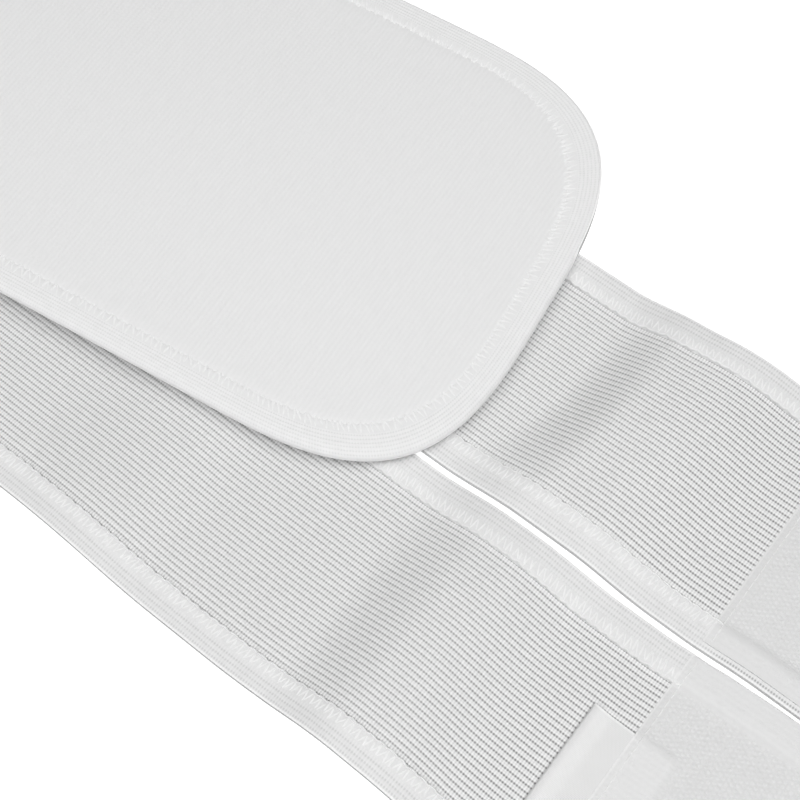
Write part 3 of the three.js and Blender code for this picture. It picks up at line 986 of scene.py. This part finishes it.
def pad_knit():
    """Soft white knit with faint crosswise ribs."""
    finish, tree = cloth_finish("pad_knit", roughness=0.95, sheen=0.35)
    ribs, across = flat_map(tree, "pad")
    drawn_out = product(tree, across, PAD_STREAK["drawn_out"])
    place = add(tree, "ShaderNodeCombineXYZ", ribs, drawn_out, 0.0)
    streak = add(tree, "ShaderNodeTexNoise", place, None, PAD_STREAK["scale"], PAD_STREAK["detail"])
    fuzz = uneven(tree, **PAD_FUZZ)
    tone = add(tree, "ShaderNodeMapRange", streak, 0.3, 0.7, PAD_STREAK["low"], PAD_STREAK["high"])
    rib = calc(tree, "MULTIPLY_ADD", wave(tree, ribs), PAD_TONE["rib"], tone)
    soft = calc(tree, "MULTIPLY_ADD", fuzz, PAD_TONE["fuzz"], rib)
    return dressed(finish, soft, total(tree, streak, fuzz), depth=0.05)


pad_finish = pad_knit()
print("the pad has", round(10 / PAD_RIB["pitch"], 1), "ribs to the centimetre")

# %% Lines inside the pad
HALVINGS = 30


def inside_pad(along, across, inset):
    """Whether points lie inside the outline kept in by an inset."""
    half, root_depth, side_start, side_end, end_depth = pad_sizes(inset)
    wide = np.abs(across) / half
    end = np.clip(along - side_end, 0, None) / end_depth
    root = np.clip(side_start - along, 0, None) / root_depth
    at_end = end ** PAD["end_fullness"] + wide ** PAD["end_fullness"] <= 1
    return at_end & (root ** PAD_ROOT_CORNER["fullness"] + wide ** PAD_ROOT_CORNER["fullness"] <= 1)


def halved(high, holds):
    """The largest value from 0 to a bound for which a test still holds, by halving."""
    low = 0 * high
    for _ in range(HALVINGS):
        middle_value = (low + high) / 2
        good = holds(middle_value)
        low, high = np.where(good, middle_value, low), np.where(good, high, middle_value)
    return low


print("a line inside the pad is found to", PAD["width"] / 2 ** HALVINGS, "mm")

# %% Make the pad
PAD_EDGE = 5.6
PAD_COLUMNS = 37
FIRST_RIB = 0.5
RIBS_FADE_IN = 4
PAD_LIFT = {"under": 1.2, "gripped": 3.15, "rise": 1.1, "rise_start": 5.6, "rise_end": 9.3, "crown": 0.6}


def make_pad():
    """The padded panel: crowned, ribbed on its face, flat below, and thin where the edging grips it."""
    step = PAD_RIB["pitch"] / PAD_RIB["steps"]
    count = np.arange(round((PAD["end"] - PAD["root"]) / step))
    lean, shrink = math.tan(PAD_RIB["turn"]), math.cos(PAD_RIB["turn"])
    line = (PAD["root"] + count * step) / shrink
    kept = inside_pad(line, 0 * line, PAD_EDGE + FIRST_RIB)
    line, count = line[kept], count[kept]
    half = PAD["width"] / 2
    high = halved(0 * line + half, lambda q: inside_pad(line + q * lean, q, PAD_EDGE))
    low = halved(0 * line + half, lambda q: inside_pad(line - q * lean, q, PAD_EDGE))
    share = (1 - np.cos(np.linspace(0, math.pi, PAD_COLUMNS))) / 2
    across = -low[:, None] + (high + low)[:, None] * share
    along = line[:, None] + across * lean
    inset = halved(0 * along + half - 1, lambda d: inside_pad(along, across, d))
    risen = (inset - PAD_LIFT["rise_start"]) / (PAD_LIFT["rise_end"] - PAD_LIFT["rise_start"])
    swell = PAD_LIFT["rise"] * ease(risen)
    crown = PAD_LIFT["crown"] * ease(inset / half)
    ribs = count[:, None] / PAD_RIB["steps"] + 0 * across
    relief = PAD_RIB["height"] / 2 * np.sin(2 * math.pi * ribs) * ease((inset - PAD_EDGE) / RIBS_FADE_IN)
    face = pad_point(along, across, PAD_LIFT["gripped"] + swell + crown + relief)
    back = pad_point(along, across, PAD_LIFT["under"] + 0 * along)
    return closed_piece("front_pad_cushion", face, back, [pad_finish], {"pad": both_sides(ribs, across)})


pad = make_pad()
settle(pad, "pad_knit", "front_pad")

# %% [markdown]
# ## The pad's edging
# A ribbed tape is wrapped round the pad's edge, with five fine ribs outside and soft stitches along its
# inner side. Along the near side it is pressed thin. It is one section swept round the outline. A
# bevelled curve would twist at the corners, while rings at even steps of the outline stay square to it.

# %% Finish of the edging
EDGE_ROWS = {"first": 0.7, "pitch": 0.98, "count": 5}
EDGE_DOTS = {"strength": 0.09, "crossed": 0.012}
EDGE_TURN = {"under": -1.0, "over": 0.8, "rim": 2.8}
SHADED_SEWN_ZONE = {"from": 5.7, "full": 6.3, "tone": 0.95}
EDGE_YARN = {"scale": 500, "low": 0.845, "high": 0.875}


def edging_knit():
    """White ribbed tape, very faint dotted rows, painted shade under its stitches and where it turns under.
    """
    finish, tree = cloth_finish("edging_knit", roughness=0.85, sheen=0.2)
    along, inward = flat_map(tree, "edging")
    _, height = flat_map(tree, "edging_side")
    rows, ribbed = dotted_rows(tree, along, inward, EDGE_ROWS, **EDGE_DOTS)
    # Painted shade where the tape turns under the pad, then a painted highlight on its rim.
    turned = painted_edge_shading(tree, height, SHADED["edging"], **EDGE_TURN)
    # Painted shade in the zone under the stitches, so the gaps between them look dark.
    sewn = soft_step(tree, inward, SHADED_SEWN_ZONE["from"], SHADED_SEWN_ZONE["full"], 1.0, SHADED_SEWN_ZONE["tone"])
    yarn = product(tree, uneven(tree, **EDGE_YARN), turned, sewn, rows)
    return dressed(finish, yarn, ribbed, depth=-0.05)


edging_finish = edging_knit()
print("ribs of the edging reach", rows_end(EDGE_ROWS), "mm in")

# %% Make the edging
EDGING_STEPS = 420
EVEN_AT = 3
EDGE_TOP = 4.4
EDGE_ROW_SECTION = [(0.0, 0.06), (0.35, 0.0), (0.65, 0.0)]
# Sections as (distance from the edge, height): round the edge, the lip's inner side, the lower lip.
ROUND_EDGE = [(0.3, 0.5), (0.05, 1.2), (0.0, 2.2), (0.05, 3.2), (0.3, 3.95)]
UPPER_LIP_END = [(5.9, 4.38), (7.4, 4.34), (8.0, 4.26), (8.5, 4.05), (8.4, 3.95)]
CHANNEL = [(6.5, 3.6), (1.2, 3.5), (0.9, 2.2), (1.2, 0.9), (8.0, 0.9), (8.0, 0.1), (0.9, 0.05)]
# Stretches of the outline, as places round it: where something starts, is full, is still full and ends.
FREE_CORNER = (0.4, 0.46, 0.466, 0.474)
# At the free corner the edging's painted shade reaches higher: the flat map is lowered, the tape is not.
SHADE_RAISED_AT_CORNER = {"below": 4.1, "by": 3.0}
NEAR_SIDE = (0.46, 0.51, 0.8, 0.9)
PRESSED_THIN = {"by": 0.5, "to": 2.7, "reach": 3.0}


def edging_section():
    """(distance from the edge, height) of the edging's closed section."""
    ribs = [(inset, EDGE_TOP - dip) for inset, dip in row_columns(EDGE_ROWS, EDGE_ROW_SECTION)]
    return np.array([*ROUND_EDGE, *ribs, *UPPER_LIP_END, *CHANNEL]).T


def on_stretch(place, start, full, last, end):
    """1 on a stretch of the outline, easing to 0 on both sides of it."""
    return ease((place - start) / (full - start)) * (1 - ease((place - last) / (end - last)))


def make_edging():
    """The tape wrapped round the pad's edge; at one corner its painted shade reaches higher up the rim."""
    inset, height = edging_section()
    places, _ = even_places(EVEN_AT, EDGING_STEPS)
    along, across = pad_outline(inset[None, :], places[:, None])
    sharpest = PRESSED_THIN["by"] * on_stretch(places, *NEAR_SIDE)[:, None]
    thinner = sharpest * (1 - np.sqrt(np.clip(inset / PRESSED_THIN["reach"], 0, 1)))
    rings = pad_point(along, across, height + thinner * (PRESSED_THIN["to"] - height))
    quads = grid_quads(EDGING_STEPS + 1, len(inset), wrap=True) % (EDGING_STEPS * len(inset))
    run = np.arange(EDGING_STEPS)[:, None] * PAD_ROUND / EDGING_STEPS + 0 * along
    low = height < SHADE_RAISED_AT_CORNER["below"]
    # Painted shade raised at the free corner, through the flat map alone.
    shade_raised = SHADE_RAISED_AT_CORNER["by"] * low * on_stretch(places, *FREE_CORNER)[:, None]
    maps = {"edging": one_side(run, inset + 0 * along), "edging_side": one_side(run, height - shade_raised)}
    return mesh_piece("pad_edging", rings.reshape(-1, 3), quads, [edging_finish], maps)


edging = make_edging()

# %% Sew the edging
EDGE_STITCH = {"period": 1.6, "outer": 5.4, "inner": 9.2, "longer": 0.8, "height": 4.27, "radius": 0.4}
EVEN_STITCHES_AT = 7
FREE_END = (0.36, 0.42, 0.5, 0.56)


def sew_edging():
    """Stitches along the edging's inner side, longer ones at the free end."""
    stitches = round(PAD_ROUND / EDGE_STITCH["period"])
    chance = sewing.normal(0, UNEVEN_STITCH["place"] / PAD_ROUND, stitches)
    places = even_places(EVEN_STITCHES_AT, stitches)[0] + chance
    lean, sunk = zigzag(stitches, ZIGZAG["edging"])
    outer, inner = stroke_ends(stitches, EDGE_STITCH["outer"], EDGE_STITCH["inner"])
    inner += EDGE_STITCH["longer"] * on_stretch(places, *FREE_END)

    def on_edging(place, distance, height):
        return pad_point(*pad_outline(distance, place), height)

    size = EDGE_STITCH["height"] - sunk, EDGE_STITCH["radius"]
    points, faces, _ = joined(strokes(on_edging, places, lean / PAD_ROUND, outer, inner, *size))
    return mesh_piece("pad_edging_stitching", points, faces, [thread])


edging_stitches = sew_edging()
settle(edging, "edging", "pad_binding")
settle(edging_stitches, "edging")

# %% [markdown]
# ## The hook patches
# At the belt's end each band carries a patch of hook tape: a thin film, sewn down along its edge, with
# rows of tiny hooks that stand on it. Particles could scatter the hooks, but they are woven in strict
# staggered rows, so a loop places them. The ribs of the web show faintly through the film, and so does
# the label's tail.

# %% Finish of the hook film
FILM_MILK = {"scale": 800, "low": 0.705, "high": 0.725}
FILM_GRAIN = {"scale": 1600, "low": 0.0, "high": 1.0}
FILM_TONE = {"rib": 0.008, "paler": 0.045, "cut_edge": 0.08}
CUT_EDGE = {"from": 0.3, "to": 0.7}


def hook_film():
    """Thin milky film: ribs show through, and it is paler on hem and label and at its cut edge."""
    finish, tree = cloth_finish("hook_film", roughness=0.55, sheen=0.05)
    along, ribs = flat_map(tree, "web")
    _, paler = flat_map(tree, "film")
    through = calc(tree, "MULTIPLY_ADD", wave(tree, ribs), FILM_TONE["rib"], uneven(tree, **FILM_MILK))
    start, end = PATCH_START + CUT_EDGE["from"], PATCH_START + CUT_EDGE["to"]
    cut_edge = soft_step(tree, along, start, end, FILM_TONE["cut_edge"], 0.0)
    milky = calc(tree, "MULTIPLY_ADD", paler, FILM_TONE["paler"], total(tree, through, cut_edge))
    return dressed(finish, milky, uneven(tree, **FILM_GRAIN), depth=0.08)


film_finish = hook_film()
hook_finish = tape_finish("hook_nylon", 0.73, 0.76)
print("finishes:", film_finish.name, hook_finish.name)

# %% Lay the films
PATCH_END = 188.5
PATCH_INSET = {"upper": {"slit": 2.2, "outer": 1.5}, "lower": {"slit": 0.6, "outer": 1.5}}
FILM = {"thickness": 0.35, "over_web": 1.22, "over_hem": 2.3, "slope": 1.5, "press": 0.2, "spacing": 1.2}
TAIL = {"raise": 0.65, "ramp": 1.6, "paler": 1.25}
SEAM_INSET = 2.0


def over_tail(u, v):
    """1 where the label's tail lies under the film, easing to 0 around it."""
    past = u - LABEL["end"], v - LABEL["upper_edge"], LABEL["lower_edge"] - v
    along, above, below = (1 - ease(distance / TAIL["ramp"]) for distance in past)
    return along * above * below


def film_seat(band, u, v, has_tail):
    """Height of the film's underside, and how much paler it looks on a hem or on the label's tail."""
    slit, outer = edges_at(band, u)
    inward = np.minimum(np.abs(v - slit), np.abs(outer - v))
    on_hem = 1 - ease((inward - OUTER_HEM + FILM["slope"]) / (2 * FILM["slope"]))
    tail = over_tail(u, v) if has_tail else 0 * u
    on_web = FILM["over_web"] + TAIL["raise"] * tail
    seat = on_web + (np.maximum(FILM["over_hem"], on_web) - on_web) * on_hem
    return seat, np.maximum(on_hem, TAIL["paler"] * tail)


def make_film(name, band, inset, has_tail):
    """The film of a hook patch, laid over the web and both hems."""
    u = spaced(PATCH_START, PATCH_END, FILM["spacing"])[:, None]
    slit, outer = edges_at(band, u)
    width = np.abs(outer - slit)
    covered = width - inset["slit"] - inset["outer"]
    columns = round(covered.min() / FILM["spacing"])
    distance = inset["slit"] + np.linspace(0, 1, columns + 1) * covered
    v = slit + np.sign(outer - slit) * distance
    u = u + 0 * v
    seat, paler = film_seat(band, u, v, has_tail)
    edge = np.minimum(u - PATCH_START, PATCH_END - u)
    pressed = FILM["press"] * (1 - ease(edge / SEAM_INSET))
    face = band_point(band, u, v, seat + FILM["thickness"] - pressed)
    back = band_point(band, u, v, seat)
    maps = {"web": both_sides(u, rib_count(band, distance, width)), "film": both_sides(u, paler)}
    return closed_piece(name, face, back, [film_finish], maps)


films = {}
for side, band in BANDS.items():
    films[side] = make_film(f"{side}_hook_film", band, PATCH_INSET[side], side == "lower")
    settle(films[side], "hook_patch", f"{side}_hook_patch")

# %% Set the hooks and sew the films
HOOK = {"pitch": 1.4, "radius": 0.58, "height": 0.1, "margin": 3.4, "sides": 6, "first": 0.25}
# How far a hook is rooted in the film, and its shoulder's width and height, as shares of its size.
HOOK_SHAPE = {"rooted": 0.1, "shoulder": 0.6, "shoulder_height": 0.7}
FILM_STITCH = {"first": 1, "length": 2.4, "gap": 0.5, "radius": 0.14, "rise": 0.1, "steps": 5, "sides": 5}
FILM_STITCH_SUNK = 0.1
UP = np.array([0, 0, 1.0])


def one_hook():
    """Points and faces of a small blunt hook that stands at zero."""
    sides = HOOK["sides"]
    cosine, sine = round_about(sides)
    circle = np.stack([cosine, sine, 0 * sine], -1) * HOOK["radius"]
    up = UP * HOOK["height"]
    shoulder = HOOK_SHAPE["shoulder"] * circle + HOOK_SHAPE["shoulder_height"] * up
    after = (np.arange(sides) + 1) % sides
    walls = [[k, after[k], sides + after[k], sides + k] for k in range(sides)]
    tops = [[sides + k, sides + after[k], 2 * sides] for k in range(sides)]
    points = np.concatenate([circle - HOOK_SHAPE["rooted"] * up, shoulder, [up]])
    return points, [*walls, *tops, list(range(sides))[::-1]]


def make_hooks(name, band, has_tail):
    """Staggered rows of hooks on the film, with none where the label's tail lies under it."""
    pitch = HOOK["pitch"]
    rows = np.arange(PATCH_START + HOOK["margin"], PATCH_END - HOOK["margin"], pitch * math.sqrt(0.75))
    slit, outer = (edge[:, None] for edge in edges_at(band, rows))
    count = int((np.abs(outer - slit).min() - SLIT_HEM - OUTER_HEM) / pitch)
    shift = (np.arange(len(rows)) % 2)[:, None] * pitch / 2
    v = slit + np.sign(outer - slit) * (SLIT_HEM + shift + pitch * (np.arange(count) + HOOK["first"]))
    u = rows[:, None] + 0 * v
    seat = film_seat(band, u, v, has_tail)[0] + FILM["thickness"]
    bare = has_tail & (over_tail(u, v) > 0)
    base = band_point(band, u, v, seat)[~bare]
    shape, faces = one_hook()
    points, faces, _ = joined([(foot + shape, faces) for foot in base])
    return mesh_piece(name, points, faces, [hook_finish])


def sew_film(name, band, inset, has_tail):
    """Running stitches along the film's two short edges."""
    way = np.linspace(0, 1, FILM_STITCH["steps"])
    length = FILM_STITCH["length"]
    parts = []
    for along in (PATCH_START + SEAM_INSET, PATCH_END - SEAM_INSET):
        slit, outer = edges_at(band, np.array(along))
        reach = abs(outer - slit) - inset["slit"] - inset["outer"]
        for start in np.arange(FILM_STITCH["first"], reach - length, length + FILM_STITCH["gap"]):
            v = slit + np.sign(outer - slit) * (inset["slit"] + start + way * length)
            u = along + 0 * v
            seat = film_seat(band, u, v, has_tail)[0] + FILM["thickness"] - FILM_STITCH_SUNK
            path = band_point(band, u, v, seat + FILM_STITCH["rise"] * np.sin(math.pi * way))
            parts.append(tube(path, UP[None], FILM_STITCH["radius"], FILM_STITCH["sides"]))
    points, faces, _ = joined(parts)
    return mesh_piece(name, points, faces, [thread])


film_extras = {}
for side, band in BANDS.items():
    hooks = make_hooks(f"{side}_hooks", band, side == "lower")
    seam = sew_film(f"{side}_hook_film_stitching", band, PATCH_INSET[side], side == "lower")
    film_extras[side] = [hooks, seam]
    for extra in film_extras[side]:
        settle(extra, "hook_patch")

# %% [markdown]
# ## The label
# A smooth woven tab is folded double and caught under the lower patch's edge, with its fold outside. The
# fold stands up a little and shades the web beside it. A highlight is painted along the fold, with painted
# shade on its outer side, and another along the tab's upper edge. A flat box could stand in for it. A
# strip that follows a path, in along the web, round a small loop and back out, has a real fold.

# %% Finish of the label
# Painted light on the label, as distances in from its upper edge or its fold, and what it adds to the tone.
EDGE_HIGHLIGHT = {"outer": 0.3, "inner": 0.7, "lighter": 0.1}
LIT_FOLD = {"from": 0.6, "full": 2.4, "still": 4, "end": 7, "start": -0.03, "lighter": 0.045}
LABEL_LINES = {"per_metre": 2500.0, "lighter": 0.006}
LABEL_YARN = {"scale": 200, "low": 0.765, "high": 0.785}


def label_satin():
    """Smooth satin weave, faintly lined, with painted highlights at its upper edge and along its fold."""
    finish, tree = cloth_finish("label_satin", roughness=0.5, sheen=0.1)
    x, y = split(tree, in_space(tree))
    lines = wave(tree, product(tree, y, LABEL_LINES["per_metre"]))
    white = calc(tree, "MULTIPLY_ADD", lines, LABEL_LINES["lighter"], uneven(tree, **LABEL_YARN))
    # A painted highlight along the upper edge.
    edge = LABEL["upper_edge"] * MM + SHIFT[1]
    inner, outer = edge - EDGE_HIGHLIGHT["inner"] * MM, edge - EDGE_HIGHLIGHT["outer"] * MM
    edge_highlight = soft_step(tree, y, inner, outer, 0.0, EDGE_HIGHLIGHT["lighter"])
    # A painted highlight along the fold, with painted shade on its outer side.
    fold = LABEL["start"] * MM + SHIFT[0]
    begin, full, still, end = (fold + LIT_FOLD[stage] * MM for stage in ("from", "full", "still", "end"))
    rising = soft_step(tree, x, begin, full, LIT_FOLD["start"], LIT_FOLD["lighter"])
    falling = soft_step(tree, x, still, end, 0.0, -LIT_FOLD["lighter"])
    return dressed(finish, total(tree, white, edge_highlight, rising, falling), lines, depth=0.02)


label_finish = label_satin()
print("finish:", label_finish.name)

# %% Make the label
LABEL_CLOTH = {"thickness": 0.3, "low": 1.38, "high": 1.7, "fold_radius": 0.62, "slope": 4.5}
LABEL_GRID = {"below": 8, "fold": 11, "above": 16, "across": 15}


def label_path():
    """(place along, height) of the middle of the label's cloth, from its lower tail round the fold."""
    radius = LABEL_CLOTH["fold_radius"]
    centre = LABEL["start"] + radius + LABEL_CLOTH["thickness"] / 2
    turn = np.linspace(0, math.pi, LABEL_GRID["fold"])
    below = np.linspace(LABEL["end"], centre, LABEL_GRID["below"])[:-1]
    above = np.linspace(centre, LABEL["end"], LABEL_GRID["above"])[1:]
    drop = LABEL_CLOTH["low"] + 2 * radius - LABEL_CLOTH["high"]
    along = [below, centre - radius * np.sin(turn), above]
    height = [
        0 * below + LABEL_CLOTH["low"],
        LABEL_CLOTH["low"] + radius * (1 - np.cos(turn)),
        LABEL_CLOTH["low"] + 2 * radius - drop * ease((above - centre) / LABEL_CLOTH["slope"]),
    ]
    return np.concatenate(along), np.concatenate(height)


def make_label():
    """The folded tab, as one closed strip, and the length of its cloth."""
    along, height = label_path()
    ahead = np.stack([np.gradient(along), np.gradient(height)], -1)
    ahead /= np.linalg.norm(ahead, axis=1, keepdims=True)
    half = LABEL_CLOTH["thickness"] / 2
    v = np.linspace(LABEL["upper_edge"], LABEL["lower_edge"], LABEL_GRID["across"])
    sheets = []
    for way in (1, -1):
        u = (along + way * half * ahead[:, 1])[:, None] + 0 * v
        lift = (height - way * half * ahead[:, 0])[:, None] + 0 * v
        sheets.append(band_point(BANDS["lower"], u, v + 0 * u, lift))
    length = np.hypot(np.diff(along), np.diff(height)).sum()
    return closed_piece("size_label_tab", *sheets, [label_finish]), length


label, label_length = make_label()
settle(label, "label", "size_label")
print("the label's cloth is", round(label_length, 1), "mm long before it is folded")
